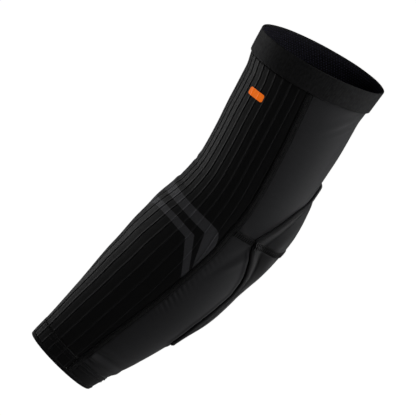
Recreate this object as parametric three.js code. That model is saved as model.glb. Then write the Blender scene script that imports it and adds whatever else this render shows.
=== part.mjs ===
// An elbow guard: a stretch-knit sleeve from the biceps to the wrist, with a ribbed front panel, plain
// back panels, flat-locked seams, an elastic band, a hemmed cuff and a padded shield over the elbow.
// Millimetres, +Z up. The origin is the middle of the elbow, inside the sleeve. The arm bends in the
// XZ plane: the forearm runs down towards -X, and the crook of the elbow faces up towards -X.
import * as THREE from 'three';

// Sleeve
const FOREARM_LENGTH = 226;     // cuff edge to the middle of the elbow, along the arm
const UPPER_ARM_LENGTH = 198;   // middle of the elbow to the rim of the band, along the arm
const FOREARM_PITCH = 42.5;     // degrees by which the forearm climbs towards the elbow
const ELBOW_BEND = 19;          // degrees by which the upper arm turns up from the forearm
const BEND_SPAN = 120;          // length of arm over which the elbow bends
const ARM_WIDTH = 124;          // upper arm, from crook side to elbow side
const ARM_DEPTH = 86;           // upper arm, from side to side
const FABRIC_WALL = 1.6;        // thickness of the knitted panels
const PIECE_GAP = 0.3;          // clearance between one sewn piece and the next

// Band at the biceps
const BAND_HEIGHT = 25;
const BAND_WALL = 2.6;
const BAND_PROUD = 2;           // how far the band stands out from the panels
const GRIP_HEIGHT = 20;         // mesh tape inside the band
const GRIP_WALL = 1;

// Cuff at the wrist
const BINDING_HEIGHT = 5;
const BINDING_WALL = 2.4;
const BINDING_PROUD = 0.4;
const HEM_HEIGHT = 17;
const HEM_WALL = 2.4;
const HEM_PROUD = 0.3;

// Flat-locked seams
const SEAM_WIDTH = 6;
const SEAM_WALL = 2.2;
const SEAM_PROUD = 0.6;
const ELBOW_SEAM_ABOVE = 10;    // from the middle of the elbow up to the seam across the elbow

// Ribs knitted into the front panel
const RIBS_PER_SIDE = 11;
const RIB_HEIGHT = 0.8;
const RIB_BASE = 2;

// Padded shield over the elbow
const PAD_BELOW = 138;          // elbow seam to the shield's lower end
const PAD_ABOVE = 73;           // elbow seam to the shield's upper end
const PAD_HALF_WIDTH = 35;      // from the back of the arm to the shield's edge, seen from behind
const PAD_EDGE = 2.2;           // thickness of the stitched edge
const PAD_MIDDLE = 7.2;         // thickness over the point of the elbow
const PAD_FLANGE = 7;           // width of the flat stitched edge
const PAD_SHOULDER = 11;        // width over which the padding rises

const SLEEVE_LENGTH = FOREARM_LENGTH + UPPER_ARM_LENGTH;
const PANELS_FROM = BINDING_HEIGHT + HEM_HEIGHT + 2 * PIECE_GAP;
const PANELS_TO = SLEEVE_LENGTH - BAND_HEIGHT - PIECE_GAP;
const ELBOW_SEAM_AT = FOREARM_LENGTH + ELBOW_SEAM_ABOVE;
const DEGREE = Math.PI / 180;

// Sections of the arm. along is a share of the sleeve's length from the cuff, width and lean are shares
// of ARM_WIDTH and depth of ARM_DEPTH. lean moves the section towards the crook of the elbow.
const SECTIONS = [
  { along: 0.00, width: 0.68, depth: 0.40, lean: 0.016 },
  { along: 0.06, width: 0.74, depth: 0.43, lean: 0.006 },
  { along: 0.13, width: 0.83, depth: 0.51, lean: -0.007 },
  { along: 0.22, width: 0.926, depth: 0.62, lean: -0.013 },
  { along: 0.31, width: 1.01, depth: 0.73, lean: -0.012 },
  { along: 0.40, width: 1.044, depth: 0.81, lean: 0.011 },
  { along: 0.48, width: 1.036, depth: 0.86, lean: 0.028 },
  { along: 0.54, width: 1.014, depth: 0.88, lean: 0.017 },
  { along: 0.60, width: 0.99, depth: 0.90, lean: -0.004 },
  { along: 0.67, width: 0.96, depth: 0.92, lean: -0.017 },
  { along: 0.74, width: 0.973, depth: 0.945, lean: -0.020 },
  { along: 0.82, width: 0.998, depth: 0.965, lean: -0.017 },
  { along: 0.90, width: 1.002, depth: 0.98, lean: -0.008 },
  { along: 0.94, width: 1.04, depth: 0.99, lean: -0.002 },
  { along: 1.00, width: 1.068, depth: 1.00, lean: -0.008 },
];

// Where the front seams run, in degrees round the arm from the crook of the elbow.
const FRONT_SEAM = [
  { along: 0.00, angle: 101 },
  { along: 0.08, angle: 98 },
  { along: 0.16, angle: 95.5 },
  { along: 0.30, angle: 95 },
  { along: 0.42, angle: 97.2 },
  { along: 0.48, angle: 98.3 },
  { along: 0.56, angle: 95.8 },
  { along: 0.64, angle: 95 },
  { along: 0.74, angle: 92.8 },
  { along: 0.85, angle: 90.3 },
  { along: 1.00, angle: 87 },
];

// How the ribs run, in degrees round the arm: the first one's angle from the crook, and the pitch from one
// to the next. Towards the cuff they close up along the middle of the panel, so the first ones end there.
const RIB_FAN = [
  { along: 0.00, first: -38, pitch: 16.2 },
  { along: 0.14, first: -29, pitch: 14.4 },
  { along: 0.23, first: -21.5, pitch: 13.2 },
  { along: 0.32, first: -17, pitch: 12.5 },
  { along: 0.40, first: -12, pitch: 11.8 },
  { along: 0.47, first: -5.5, pitch: 10.8 },
  { along: 0.53, first: -0.5, pitch: 9.7 },
  { along: 0.60, first: 2, pitch: 9.0 },
  { along: 0.73, first: 3.2, pitch: 8.5 },
  { along: 1.00, first: 4.6, pitch: 8.1 },
];

// Outline and height of the shield. reach runs from -1 at its lower end, through 0 at the elbow seam,
// to 1 at its upper end. half is a share of PAD_HALF_WIDTH and rise a share of the full padding.
const PAD_OUTLINE = [
  { reach: -1.00, half: 0.20, rise: 0.00 },
  { reach: -0.98, half: 0.28, rise: 0.01 },
  { reach: -0.89, half: 0.36, rise: 0.12 },
  { reach: -0.80, half: 0.43, rise: 0.27 },
  { reach: -0.72, half: 0.47, rise: 0.40 },
  { reach: -0.61, half: 0.47, rise: 0.55 },
  { reach: -0.50, half: 0.46, rise: 0.60 },
  { reach: -0.40, half: 0.44, rise: 0.63 },
  { reach: -0.34, half: 0.49, rise: 0.68 },
  { reach: -0.28, half: 0.55, rise: 0.74 },
  { reach: -0.22, half: 0.65, rise: 0.83 },
  { reach: -0.17, half: 0.75, rise: 0.90 },
  { reach: -0.11, half: 0.85, rise: 0.96 },
  { reach: -0.06, half: 0.93, rise: 0.98 },
  { reach: -0.01, half: 0.97, rise: 1.00 },
  { reach: 0.04, half: 1.00, rise: 1.00 },
  { reach: 0.18, half: 0.96, rise: 0.94 },
  { reach: 0.31, half: 0.89, rise: 0.84 },
  { reach: 0.44, half: 0.80, rise: 0.71 },
  { reach: 0.58, half: 0.66, rise: 0.52 },
  { reach: 0.67, half: 0.51, rise: 0.40 },
  { reach: 0.73, half: 0.38, rise: 0.31 },
  { reach: 0.83, half: 0.26, rise: 0.19 },
  { reach: 0.93, half: 0.19, rise: 0.07 },
  { reach: 1.00, half: 0.10, rise: 0.00 },
];

// Folds in the plain panels. at is a share of the sleeve's length and angle is in degrees from the
// crook; length and width are shares of ARM_DEPTH, depth is a share of it too, and slant is in degrees.
const FOLDS = [
  { at: 0.066, angle: 128, length: 0.46, width: 0.050, depth: -0.020, slant: 0 },
  { at: 0.082, angle: 118, length: 0.30, width: 0.050, depth: 0.014, slant: 6 },
  { at: 0.075, angle: 165, length: 0.30, width: 0.060, depth: 0.014, slant: 0 },
  { at: 0.910, angle: 136, length: 0.26, width: 0.055, depth: 0.016, slant: 36 },
  { at: 0.928, angle: 144, length: 0.26, width: 0.055, depth: -0.014, slant: 36 },
];

const smooth = (t) => {
  const x = THREE.MathUtils.clamp(t, 0, 1);
  return x * x * (3 - 2 * x);
};

// Reads a column of a table at a place, by a cubic that never overshoots its rows.
function lookUp(table, key, column, at) {
  const last = table.length - 1;
  const x = THREE.MathUtils.clamp(at, table[0][key], table[last][key]);
  const slope = (i) => (table[i + 1][column] - table[i][column]) / (table[i + 1][key] - table[i][key]);
  const tangent = (i) => {
    if (i === 0) return slope(0);
    if (i === last) return slope(last - 1);
    const before = slope(i - 1);
    const after = slope(i);
    return before * after <= 0 ? 0 : (2 * before * after) / (before + after);
  };
  let i = 0;
  while (i < last - 1 && x > table[i + 1][key]) i += 1;
  const span = table[i + 1][key] - table[i][key];
  const t = (x - table[i][key]) / span;
  return table[i][column] * (1 + 2 * t) * (1 - t) ** 2 + table[i + 1][column] * t * t * (3 - 2 * t)
    + span * tangent(i) * t * (1 - t) ** 2 + span * tangent(i + 1) * t * t * (t - 1);
}

// Direction of the arm at a place along it, in radians above the horizontal.
function heading(along) {
  return DEGREE * (FOREARM_PITCH + ELBOW_BEND * smooth((along - FOREARM_LENGTH) / BEND_SPAN + 0.5));
}

// The arm's section at a place along it: its centre, the direction towards the crook, and half sizes.
const sections = new Map();
function section(along) {
  if (sections.has(along)) return sections.get(along);
  const steps = 96;
  const step = (along - FOREARM_LENGTH) / steps;
  const centre = new THREE.Vector3();
  for (let i = 0; i < steps; i += 1) {
    const turn = heading(FOREARM_LENGTH + (i + 0.5) * step);
    centre.x += step * Math.cos(turn);
    centre.z += step * Math.sin(turn);
  }
  const turn = heading(along);
  const share = along / SLEEVE_LENGTH;
  const made = {
    centre,
    front: new THREE.Vector3(-Math.sin(turn), 0, Math.cos(turn)),
    halfWidth: lookUp(SECTIONS, 'along', 'width', share) * ARM_WIDTH / 2,
    halfDepth: lookUp(SECTIONS, 'along', 'depth', share) * ARM_DEPTH / 2,
    lean: lookUp(SECTIONS, 'along', 'lean', share) * ARM_WIDTH,
  };
  sections.set(along, made);
  return made;
}

// A point of the sleeve: along the arm, round it in degrees from the crook, and out from the skin.
function skin(along, angle, out) {
  const { centre, front, halfWidth, halfDepth, lean } = section(along);
  const c = Math.cos(angle * DEGREE);
  const s = Math.sin(angle * DEGREE);
  const normal = Math.hypot(c / halfWidth, s / halfDepth);
  const forward = halfWidth * c + lean + (out * c) / (halfWidth * normal);
  const sideways = halfDepth * s + (out * s) / (halfDepth * normal);
  return centre.clone().addScaledVector(front, forward).add(new THREE.Vector3(0, -sideways, 0));
}

// Degrees round the arm that a length of cloth covers at a place.
function degreesFor(length, along, angle) {
  const { halfWidth, halfDepth } = section(along);
  const c = Math.cos(angle * DEGREE);
  const s = Math.sin(angle * DEGREE);
  return length / Math.hypot(halfWidth * s, halfDepth * c) / DEGREE;
}

// Height of the folds in a plain panel: each is a long soft ridge or dent.
function foldHeight(along, angle) {
  return FOLDS.reduce((sum, fold) => {
    const up = along - fold.at * SLEEVE_LENGTH;
    const round = (Math.abs(angle) - fold.angle) / degreesFor(1, along, fold.angle);
    const slant = fold.slant * DEGREE;
    const across = (up * Math.cos(slant) - round * Math.sin(slant)) / (fold.width * ARM_DEPTH);
    const lengthwise = (round * Math.cos(slant) + up * Math.sin(slant)) / (fold.length * ARM_DEPTH);
    return sum + fold.depth * ARM_DEPTH * Math.exp(-across * across - lengthwise * lengthwise);
  }, 0);
}

const seamAngle = (along) => lookUp(FRONT_SEAM, 'along', 'angle', along / SLEEVE_LENGTH);

// The angle at which a panel stops beside the front seam: side -1 is the front panel, 1 a back panel.
function besideSeam(along, side) {
  const angle = seamAngle(along);
  return angle + side * degreesFor(SEAM_WIDTH / 2 + PIECE_GAP, along, angle);
}

// Evenly spaced values from one end to the other, both included.
const spread = (from, to, steps) => Array.from({ length: steps + 1 }, (_, i) => from + ((to - from) * i) / steps);

// A closed wall made from rows of points along the arm. Each row has an outer and an inner line of
// points, each point with its share of the way across. A ring's lines close on themselves.
function wall(rows, ring = false) {
  const positions = [];
  const index = [];
  const addLine = (line) => line.map(({ point, share }) => {
    positions.push(point.x, point.y, point.z);
    return { vertex: positions.length / 3 - 1, share };
  });
  const closeLine = (line) => (ring ? [...line, { vertex: line[0].vertex, share: 1 }] : line);
  const outer = rows.map((row) => closeLine(addLine(row.outer)));
  const inner = rows.map((row) => closeLine(addLine(row.inner)));
  const triangle = (a, b, c) => index.push(a.vertex, c.vertex, b.vertex);
  const quad = (a, b, c, d) => {
    triangle(a, b, c);
    triangle(a, c, d);
  };
  // Joins two lines that may have different numbers of points.
  const zip = (a, b) => {
    let i = 0;
    let j = 0;
    while (i < a.length - 1 || j < b.length - 1) {
      const stepOnA = j === b.length - 1 || (i < a.length - 1 && a[i + 1].share <= b[j + 1].share);
      if (stepOnA) {
        triangle(a[i], a[i + 1], b[j]);
        i += 1;
      } else {
        triangle(a[i], b[j + 1], b[j]);
        j += 1;
      }
    }
  };
  const end = rows.length - 1;
  for (let r = 0; r < end; r += 1) {
    for (let k = 0; k < outer[r].length - 1; k += 1) {
      quad(outer[r][k], outer[r + 1][k], outer[r + 1][k + 1], outer[r][k + 1]);
    }
    for (let k = 0; k < inner[r].length - 1; k += 1) {
      quad(inner[r][k], inner[r][k + 1], inner[r + 1][k + 1], inner[r + 1][k]);
    }
    if (!ring) {
      quad(outer[r][0], inner[r][0], inner[r + 1][0], outer[r + 1][0]);
      quad(outer[r].at(-1), outer[r + 1].at(-1), inner[r + 1].at(-1), inner[r].at(-1));
    }
  }
  zip(outer[0], inner[0]);
  zip(inner[end], outer[end]);
  const geometry = new THREE.BufferGeometry();
  geometry.setAttribute('position', new THREE.Float32BufferAttribute(positions, 3));
  geometry.setIndex(index);
  geometry.computeVertexNormals();
  return geometry;
}

// One line of a patch: points on the skin at the given angles.
function line(along, angles, outAt) {
  const first = angles[0];
  const whole = angles.at(-1) - first;
  return angles.map((angle) => ({ point: skin(along, angle, outAt(angle)), share: (angle - first) / whole }));
}

// A patch of plain panel between two places along the arm and between two angles at each place.
function patch(alongs, anglesAt, outAt, inAt) {
  return wall(alongs.map((along) => ({
    outer: line(along, anglesAt(along), (angle) => outAt(along, angle)),
    inner: line(along, anglesAt(along), (angle) => inAt(along, angle)),
  })));
}

// A ring round the whole arm. profile lists its outer and inner distances from the skin at each place.
const RING_STEPS = 42;
function ringPiece(profile) {
  const angles = spread(0, 360, RING_STEPS).slice(0, -1);
  const ringLine = (along, out) => angles.map((angle) => ({ point: skin(along, angle, out), share: angle / 360 }));
  return wall(profile.map(({ along, out, inside }) => ({
    outer: ringLine(along, out),
    inner: ringLine(along, inside),
  })), true);
}

// The columns of the ribbed panel at a place along the arm: an angle and a height for each. A rib that
// reaches the seam or the middle of the panel flattens out, and its columns close up there.
function ribColumns(along) {
  const edge = besideSeam(along, -1);
  const first = lookUp(RIB_FAN, 'along', 'first', along / SLEEVE_LENGTH);
  const pitch = lookUp(RIB_FAN, 'along', 'pitch', along / SLEEVE_LENGTH);
  const columns = [{ angle: 0, height: 0 }];
  const closeUp = 0.35;
  for (let rib = 0; rib < RIBS_PER_SIDE; rib += 1) {
    const middle = first + rib * pitch;
    const half = degreesFor(RIB_BASE / 2, along, middle);
    [-half, 0, half].forEach((shift, part) => {
      const columnsLeft = 3 * (RIBS_PER_SIDE - rib) - part;
      const least = closeUp * (3 * rib + part + 1);
      const most = edge - closeUp * columnsLeft;
      const wanted = middle + shift;
      const free = middle - half > least && middle + half < most;
      columns.push({
        angle: Math.max(least, Math.min(wanted, most)),
        height: part === 1 && free ? RIB_HEIGHT : 0,
      });
    });
  }
  columns.push({ angle: edge, height: 0 });
  const mirrored = columns.slice(1).reverse().map(({ angle, height }) => ({ angle: -angle, height }));
  return [...mirrored, ...columns];
}

// A ribbed patch: fine columns outside, where the ribs are, and few inside, where the cloth is plain.
function ribbedPatch(alongs, proud, thickness) {
  const insideSteps = 14;
  return wall(alongs.map((along) => {
    const edge = besideSeam(along, -1);
    const outer = ribColumns(along).map(({ angle, height }) => ({
      point: skin(along, angle, proud + height),
      share: (angle + edge) / (2 * edge),
    }));
    const inner = line(along, spread(-edge, edge, insideSteps), () => proud - thickness);
    return { outer, inner };
  }));
}

// Angles across the back of the arm, from one front seam round the elbow to the other.
const backAngles = (along, steps) => spread(besideSeam(along, 1), 360 - besideSeam(along, 1), steps);
const fromCrook = (angle) => (angle > 180 ? 360 - angle : angle);

function backPanel(alongs) {
  const steps = 16;
  return patch(
    alongs,
    (along) => backAngles(along, steps),
    (along, angle) => foldHeight(along, fromCrook(angle)),
    (along, angle) => foldHeight(along, fromCrook(angle)) - FABRIC_WALL,
  );
}

function frontSeam(side) {
  const alongs = spread(BINDING_HEIGHT + PIECE_GAP, PANELS_TO, 30);
  return patch(
    alongs,
    (along) => {
      const angle = seamAngle(along);
      const half = degreesFor(SEAM_WIDTH / 2, along, angle);
      return spread(side * angle - half, side * angle + half, 2);
    },
    () => SEAM_PROUD,
    () => SEAM_PROUD - SEAM_WALL,
  );
}

const elbowSeamRows = () => spread(ELBOW_SEAM_AT - SEAM_WIDTH / 2, ELBOW_SEAM_AT + SEAM_WIDTH / 2, 2);

function elbowSeam() {
  const steps = 26;
  return patch(
    elbowSeamRows(),
    (along) => backAngles(along, steps),
    () => SEAM_PROUD,
    () => SEAM_PROUD - SEAM_WALL,
  );
}

// The shield's reach at a place along the arm, from -1 at its lower end to 1 at its upper end.
function padReach(along) {
  const above = along - ELBOW_SEAM_AT;
  return above < 0 ? above / PAD_BELOW : above / PAD_ABOVE;
}

// Half the shield's angle round the back of the arm.
function padHalfAngle(along) {
  const half = lookUp(PAD_OUTLINE, 'reach', 'half', padReach(along)) * PAD_HALF_WIDTH;
  return Math.asin(Math.min(half / (section(along).halfDepth + PAD_EDGE), 0.95)) / DEGREE;
}

// Thickness of the shield: a flat stitched edge, then a shoulder up to the padding.
function padThickness(along, angle) {
  const half = lookUp(PAD_OUTLINE, 'reach', 'half', padReach(along)) * PAD_HALF_WIDTH;
  const across = Math.abs(180 - angle) / padHalfAngle(along);
  const fromEdge = half * (1 - across);
  const rise = lookUp(PAD_OUTLINE, 'reach', 'rise', padReach(along)) * (PAD_MIDDLE - PAD_EDGE);
  return PAD_EDGE + rise * smooth((fromEdge - PAD_FLANGE) / PAD_SHOULDER);
}

const padAngles = (along) => {
  const half = padHalfAngle(along);
  return [-1, -0.88, -0.76, -0.62, -0.48, -0.32, -0.16, 0, 0.16, 0.32, 0.48, 0.62, 0.76, 0.88, 1]
    .map((share) => 180 + share * half);
};

function pad(alongs) {
  return patch(
    alongs,
    padAngles,
    (along, angle) => foldHeight(along, fromCrook(angle)) + PIECE_GAP + padThickness(along, angle),
    (along, angle) => foldHeight(along, fromCrook(angle)) + PIECE_GAP,
  );
}

function padSeam() {
  return patch(
    elbowSeamRows(),
    padAngles,
    (along, angle) => PIECE_GAP + padThickness(along, angle) + SEAM_PROUD,
    () => SEAM_PROUD + PIECE_GAP,
  );
}

function band() {
  const rim = SLEEVE_LENGTH;
  const foot = SLEEVE_LENGTH - BAND_HEIGHT;
  const inside = BAND_PROUD - BAND_WALL;
  const roll = BAND_WALL / 3;
  return ringPiece([
    { along: foot, out: BAND_PROUD - roll, inside },
    { along: foot + roll, out: BAND_PROUD, inside },
    { along: (foot + rim) / 2, out: BAND_PROUD, inside },
    { along: rim - roll, out: BAND_PROUD, inside },
    { along: rim, out: BAND_PROUD - roll, inside: inside + roll },
  ]);
}

function gripTape() {
  const middle = SLEEVE_LENGTH - BAND_HEIGHT / 2;
  const out = BAND_PROUD - BAND_WALL - PIECE_GAP;
  return ringPiece([middle - GRIP_HEIGHT / 2, middle, middle + GRIP_HEIGHT / 2]
    .map((along) => ({ along, out, inside: out - GRIP_WALL })));
}

function binding() {
  const roll = BINDING_WALL / 3;
  const inside = BINDING_PROUD - BINDING_WALL;
  return ringPiece([
    { along: 0, out: BINDING_PROUD - roll, inside: inside + roll },
    { along: roll, out: BINDING_PROUD, inside },
    { along: BINDING_HEIGHT, out: BINDING_PROUD, inside },
  ]);
}

const hemRows = () => spread(BINDING_HEIGHT + PIECE_GAP, BINDING_HEIGHT + PIECE_GAP + HEM_HEIGHT, 2);

function hemBack() {
  const steps = 20;
  return patch(
    hemRows(),
    (along) => backAngles(along, steps),
    () => HEM_PROUD,
    () => HEM_PROUD - HEM_WALL,
  );
}

// Materials
const cloth = (color, roughness) => new THREE.MeshStandardMaterial({ color, roughness, metalness: 0 });
const RIBBED_KNIT = cloth(0x141415, 0.8);
const SMOOTH_KNIT = cloth(0x2e2e30, 0.7);
const ELASTIC = cloth(0x242425, 0.85);
const STITCHING = cloth(0x1a1a1b, 0.9);
const MESH_TAPE = cloth(0x1d1b26, 0.9);
const PAD_COVER = cloth(0x262627, 0.6);

const group = new THREE.Group();
function add(name, geometry, material) {
  const mesh = new THREE.Mesh(geometry, material);
  mesh.name = name;
  group.add(mesh);
}

const clearOfSeam = SEAM_WIDTH / 2 + PIECE_GAP;
const cuffPinch = PANELS_FROM + HEM_HEIGHT;
const bandFolds = PANELS_TO - 2 * BAND_HEIGHT;
add('cuff_binding', binding(), STITCHING);
add('cuff_hem_front', ribbedPatch(hemRows(), HEM_PROUD, HEM_WALL), RIBBED_KNIT);
add('cuff_hem_back', hemBack(), SMOOTH_KNIT);
add('front_panel', ribbedPatch(spread(PANELS_FROM, PANELS_TO, 24), 0, FABRIC_WALL), RIBBED_KNIT);
add('forearm_back_panel', backPanel([
  ...spread(PANELS_FROM, cuffPinch, 5),
  ...spread(cuffPinch, ELBOW_SEAM_AT - clearOfSeam, 12).slice(1),
]), SMOOTH_KNIT);
add('upper_back_panel', backPanel([
  ...spread(ELBOW_SEAM_AT + clearOfSeam, bandFolds, 8),
  ...spread(bandFolds, PANELS_TO, 6).slice(1),
]), SMOOTH_KNIT);
add('outer_front_seam', frontSeam(1), STITCHING);
add('inner_front_seam', frontSeam(-1), STITCHING);
add('elbow_seam', elbowSeam(), STITCHING);
add('elbow_pad_lower', pad([
  ...[0, 0.015, 0.045, 0.1].map((share) => ELBOW_SEAM_AT - PAD_BELOW * (1 - share)),
  ...spread(ELBOW_SEAM_AT - PAD_BELOW * 0.80, ELBOW_SEAM_AT - clearOfSeam, 10),
]), PAD_COVER);
add('elbow_pad_upper', pad([
  ...spread(ELBOW_SEAM_AT + clearOfSeam, ELBOW_SEAM_AT + PAD_ABOVE * 0.58, 5),
  ...[0.64, 0.69, 0.74, 0.79, 0.85, 0.92, 0.97, 1].map((share) => ELBOW_SEAM_AT + PAD_ABOVE * share),
]), PAD_COVER);
add('elbow_pad_seam', padSeam(), STITCHING);
add('upper_band', band(), ELASTIC);
add('band_grip_tape', gripTape(), MESH_TAPE);

export default group;
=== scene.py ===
# %% [markdown]
# # A padded elbow sleeve
# The sleeve is sewn from stretch knit: a ribbed panel over the crook of the elbow, two plain panels down
# the back, a woven elastic band at the biceps, a stitched hem at the wrist, and a foam shield over the
# point of the elbow. It is shown filled and bent, as an arm fills it. Everything is worked out in
# millimetres and turned into metres when a mesh is made. We start by loading the fixed frame.

import bpy
import numpy as np
from mathutils import Matrix


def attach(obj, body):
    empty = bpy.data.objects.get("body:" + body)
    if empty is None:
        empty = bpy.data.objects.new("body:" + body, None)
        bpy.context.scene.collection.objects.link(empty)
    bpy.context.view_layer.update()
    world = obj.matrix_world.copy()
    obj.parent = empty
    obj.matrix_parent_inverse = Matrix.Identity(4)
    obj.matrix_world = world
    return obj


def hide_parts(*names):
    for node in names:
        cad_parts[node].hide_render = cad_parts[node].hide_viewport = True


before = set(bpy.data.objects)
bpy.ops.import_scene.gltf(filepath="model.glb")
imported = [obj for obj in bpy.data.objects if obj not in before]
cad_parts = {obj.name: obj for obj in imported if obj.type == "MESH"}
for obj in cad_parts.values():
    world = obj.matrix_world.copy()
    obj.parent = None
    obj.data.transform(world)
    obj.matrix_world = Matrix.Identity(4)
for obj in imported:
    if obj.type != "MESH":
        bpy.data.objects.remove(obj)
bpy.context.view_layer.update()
print("frame nodes:", sorted(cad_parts))

# %% [markdown]
# ## The camera
# The photograph was taken from far away with a long lens, a little from above, so the camera stands
# 2.3 m from the elbow, 22 degrees up. Sensor and lens are chosen so that one pixel of the 416-pixel
# picture is one millimetre at the elbow.

# %% Camera
PICTURE = 416
CAMERA_DISTANCE = 2300.0
CAMERA_UP = np.radians(22.0)
ASIDE, ABOVE = -14.0, 14.0      # from the elbow to the middle of the picture, in millimetres

right = np.array([1.0, 0.0, 0.0])
up = np.array([0.0, np.sin(CAMERA_UP), np.cos(CAMERA_UP)])
back = np.array([0.0, -np.cos(CAMERA_UP), np.sin(CAMERA_UP)])
camera_data = bpy.data.cameras.new("camera")
camera_data.sensor_width = 36.0
camera_data.lens = 36.0 * CAMERA_DISTANCE / PICTURE
camera = bpy.data.objects.new("camera", camera_data)
bpy.context.scene.collection.objects.link(camera)
camera.location = (right * ASIDE + up * ABOVE + back * CAMERA_DISTANCE) / 1000
camera.rotation_euler = (np.pi / 2 - CAMERA_UP, 0.0, 0.0)
bpy.context.scene.camera = camera
print("lens:", round(camera_data.lens, 1), "mm")

# %% [markdown]
# ## The shape of the arm
# A sleeve takes its shape from what fills it, so one surface carries every piece: a bent centre line with
# an ellipse round it. A place on the sleeve is three numbers: how far along the arm from the cuff, how far
# round it in degrees from the crook of the elbow, and how far out from the skin.

# %% Sizes of the sleeve
FOREARM_LENGTH = 226.0
UPPER_ARM_LENGTH = 198.0
FOREARM_PITCH = 42.5
ELBOW_BEND = 19.0
BEND_SPAN = 120.0
ARM_WIDTH = 124.0
ARM_DEPTH = 86.0
WALL = 1.6
GAP = 0.3
SLEEVE_LENGTH = FOREARM_LENGTH + UPPER_ARM_LENGTH

# columns: along (share of the length), width (share of ARM_WIDTH), depth (share of ARM_DEPTH), lean
SECTIONS = np.array([
    (0.00, 0.68, 0.40, 0.016), (0.06, 0.74, 0.43, 0.006), (0.13, 0.83, 0.51, -0.007),
    (0.22, 0.926, 0.62, -0.013), (0.31, 1.01, 0.73, -0.012), (0.40, 1.044, 0.81, 0.011),
    (0.48, 1.036, 0.86, 0.028), (0.54, 1.014, 0.88, 0.017), (0.60, 0.99, 0.90, -0.004),
    (0.67, 0.96, 0.92, -0.017), (0.74, 0.973, 0.945, -0.020), (0.82, 0.998, 0.965, -0.017),
    (0.90, 1.002, 0.98, -0.008), (0.94, 1.04, 0.99, -0.002), (1.00, 1.068, 1.00, -0.008),
])


def smooth(t):
    """0 before t = 0, 1 after t = 1, and t * t * (3 - 2 t) between."""
    t = np.clip(t, 0.0, 1.0)
    return t * t * (3 - 2 * t)


def look_up(table, column, at):
    """A cubic through a table's rows that never overshoots them: each row's slope is the harmonic mean of
    the slopes beside it, and level where they change sign."""
    x, y = table[:, 0], table[:, column]
    slope = np.diff(y) / np.diff(x)
    a, b = slope[:-1], slope[1:]
    same = a * b > 0
    mean = np.where(same, 2 * a * b / np.where(same, a + b, 1), 0)
    tangent = np.concatenate([slope[:1], mean, slope[-1:]])
    at = np.clip(at, x[0], x[-1])
    i = np.clip(np.searchsorted(x, at, side="right") - 1, 0, len(x) - 2)
    span = x[i + 1] - x[i]
    t = (at - x[i]) / span
    return (y[i] * (1 + 2 * t) * (1 - t) ** 2 + y[i + 1] * t * t * (3 - 2 * t)
            + span * tangent[i] * t * (1 - t) ** 2 + span * tangent[i + 1] * t * t * (t - 1))


def heading(along):
    """Direction of the arm above the horizontal, in radians: it turns by ELBOW_BEND over BEND_SPAN."""
    return np.radians(FOREARM_PITCH + ELBOW_BEND * smooth((along - FOREARM_LENGTH) / BEND_SPAN + 0.5))


# %% [markdown]
# ## Points on the skin
# A straight sleeve could be bent with an armature, but then every rib and stitch would have to bend with
# it. Here the bend is part of the formula instead. The centre line is summed from short steps along the
# arm's heading, and every point of every piece is found from it in the same way.

# %% The centre line and the skin
line_along = np.linspace(-20, SLEEVE_LENGTH + 20, 9001)
line_step = np.diff(line_along)
line_turn = heading((line_along[1:] + line_along[:-1]) / 2)
line_x = np.concatenate([[0], np.cumsum(line_step * np.cos(line_turn))])
line_z = np.concatenate([[0], np.cumsum(line_step * np.sin(line_turn))])
line_x -= np.interp(FOREARM_LENGTH, line_along, line_x)
line_z -= np.interp(FOREARM_LENGTH, line_along, line_z)


def half_sizes(along):
    """Half width and half depth of the arm's ellipse at a place along it."""
    share = along / SLEEVE_LENGTH
    return look_up(SECTIONS, 1, share) * ARM_WIDTH / 2, look_up(SECTIONS, 2, share) * ARM_DEPTH / 2


def skin(along, angle, out):
    """centre(along) + crook side * (half width * cos + lean + out * normal) - Y * (half depth * sin + out *
    normal). The result has one more axis than its inputs, for x, y and z."""
    along, angle, out = np.broadcast_arrays(*(np.asarray(v, float) for v in (along, angle, out)))
    half_width, half_depth = half_sizes(along)
    lean = look_up(SECTIONS, 3, along / SLEEVE_LENGTH) * ARM_WIDTH
    turn = heading(along)
    c, s = np.cos(np.radians(angle)), np.sin(np.radians(angle))
    normal = np.hypot(c / half_width, s / half_depth)
    forward = half_width * c + lean + out * c / (half_width * normal)
    sideways = half_depth * s + out * s / (half_depth * normal)
    x = np.interp(along, line_along, line_x) - np.sin(turn) * forward
    z = np.interp(along, line_along, line_z) + np.cos(turn) * forward
    return np.stack([x, -sideways, z], axis=-1)


def degrees_for(length, along, angle):
    """Degrees round the arm that a length of cloth covers there."""
    half_width, half_depth = half_sizes(along)
    c, s = np.cos(np.radians(angle)), np.sin(np.radians(angle))
    return np.degrees(length / np.hypot(half_width * s, half_depth * c))


print("elbow girth:", round(float(np.sum(np.linalg.norm(np.diff(
    skin(FOREARM_LENGTH, np.linspace(0, 360, 721), 0), axis=0), axis=1)))), "mm")

# %% [markdown]
# ## Meshes from grids
# A sewn panel is a thin closed wall. Its outer face is a grid of points, its inner face another with fewer
# columns, and strips of faces close the four edges. Bands and bindings are rings: a rounded profile
# carried once round the arm. Both are made from whole arrays, and both get a UV map in metres of cloth, so
# that a knit pattern keeps its real size and follows the piece.

# %% Mesh helpers
NO_PRINT = -9.0


def cloth_uv(points, along):
    """u is the length of cloth across a row, from its middle column; v is the place along the arm."""
    across = np.cumsum(np.linalg.norm(np.diff(points, axis=1, prepend=points[:, :1]), axis=2), axis=1)
    across -= across[:, across.shape[1] // 2][:, None]
    along = np.broadcast_to(along, across.shape)
    return np.stack([across, along], axis=-1) / 1000


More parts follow.
